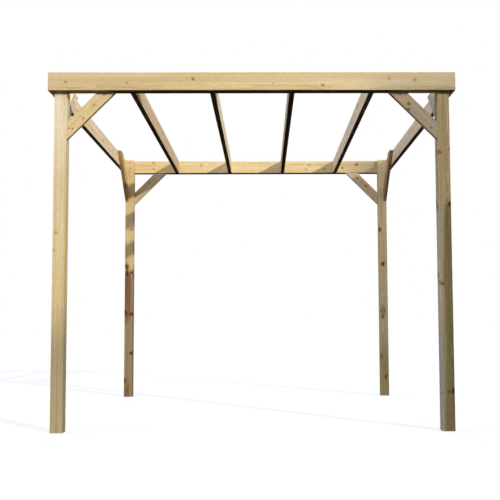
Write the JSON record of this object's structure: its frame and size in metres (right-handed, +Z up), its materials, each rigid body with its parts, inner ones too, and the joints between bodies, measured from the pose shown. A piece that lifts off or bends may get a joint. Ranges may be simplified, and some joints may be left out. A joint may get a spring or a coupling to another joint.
{
  "type": "wooden pergola",
  "caption": "Square open timber pergola: corner posts carry a level frame of beams and rafters, stiffened by knee braces.",
  "frame": {"origin": "on the ground under the middle of the frame", "axes": "+X to the right along the front beam, +Y from the front to the back, +Z up"},
  "size_m": [3, 3, 2.63],
  "materials": {
    "post": "matte",
    "cross_beam": "matte",
    "rafter": "matte",
    "cross_brace": "matte",
    "side_brace": "matte",
    "screw": "satin"
  },
  "bodies": {
    "root": {"front_left_post": "post", "front_right_post": "post", "back_left_post": "post", "back_right_post": "post", "front_beam": "cross_beam", "back_beam": "cross_beam", "left_side_beam": "rafter", "right_side_beam": "rafter", "rafter_1": "rafter", "rafter_2": "rafter", "rafter_3": "rafter", "rafter_4": "rafter", "front_left_cross_brace": "cross_brace", "front_right_cross_brace": "cross_brace", "back_left_cross_brace": "cross_brace", "back_right_cross_brace": "cross_brace", "front_left_side_brace": "side_brace", "front_right_side_brace": "side_brace", "back_left_side_brace": "side_brace", "back_right_side_brace": "side_brace"}
  },
  "joints": []
}
